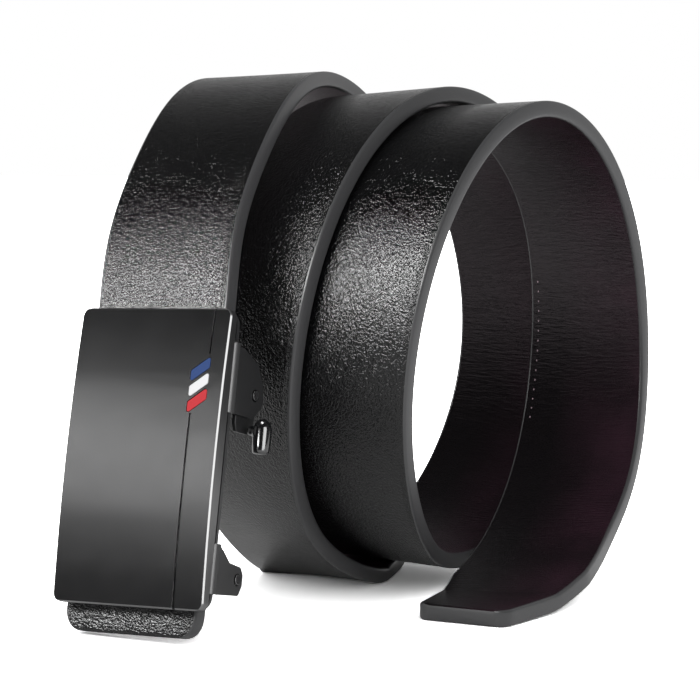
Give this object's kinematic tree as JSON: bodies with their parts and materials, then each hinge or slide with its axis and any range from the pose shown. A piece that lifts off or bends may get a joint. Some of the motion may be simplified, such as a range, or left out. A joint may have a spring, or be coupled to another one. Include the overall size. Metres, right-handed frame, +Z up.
{
  "type": "ratchet belt",
  "caption": "Coiled leather ratchet belt standing on edge, with a rectangular automatic buckle, release knob and tapered tip.",
  "frame": {"origin": "middle of the bounding box in plan, on the surface that the belt stands on", "axes": "+X across the coil towards the free tip's side, +Y from the buckle back through the coil, +Z up"},
  "size_m": [0.1262, 0.177, 0.136],
  "materials": {
    "leather": "fine grained black leather, smooth painted edges",
    "plate": "satin black plated zinc alloy",
    "blue_enamel": "gloss enamel",
    "white_enamel": "gloss enamel",
    "red_enamel": "gloss enamel",
    "frame_steel": "black plated sheet steel",
    "pin_steel": "dark plated steel",
    "knob_metal": "gloss black chrome"
  },
  "bodies": {
    "belt": {"strap": "leather", "face_plate": "plate", "stripe_blue": "blue_enamel", "stripe_white": "white_enamel", "stripe_red": "red_enamel", "buckle_frame": "frame_steel", "lever_pin": "pin_steel", "clamp_pin": "pin_steel", "strap_clamp": "frame_steel", "torsion_spring": "pin_steel"},
    "lever": {"pawl": "frame_steel", "release_lever": "frame_steel", "lever_knob": "knob_metal"}
  },
  "joints": [
    {"name": "release_lever", "type": "hinge", "parent": "belt", "child": "lever", "pos_m": [-0.01424, -0.06203, 0.05632], "axis": [0.9996, 0.0072, 0.0287], "range_deg": [0, 16], "stiffness_Nm_per_rad": 0.05, "springref_deg": -8.59}
  ]
}
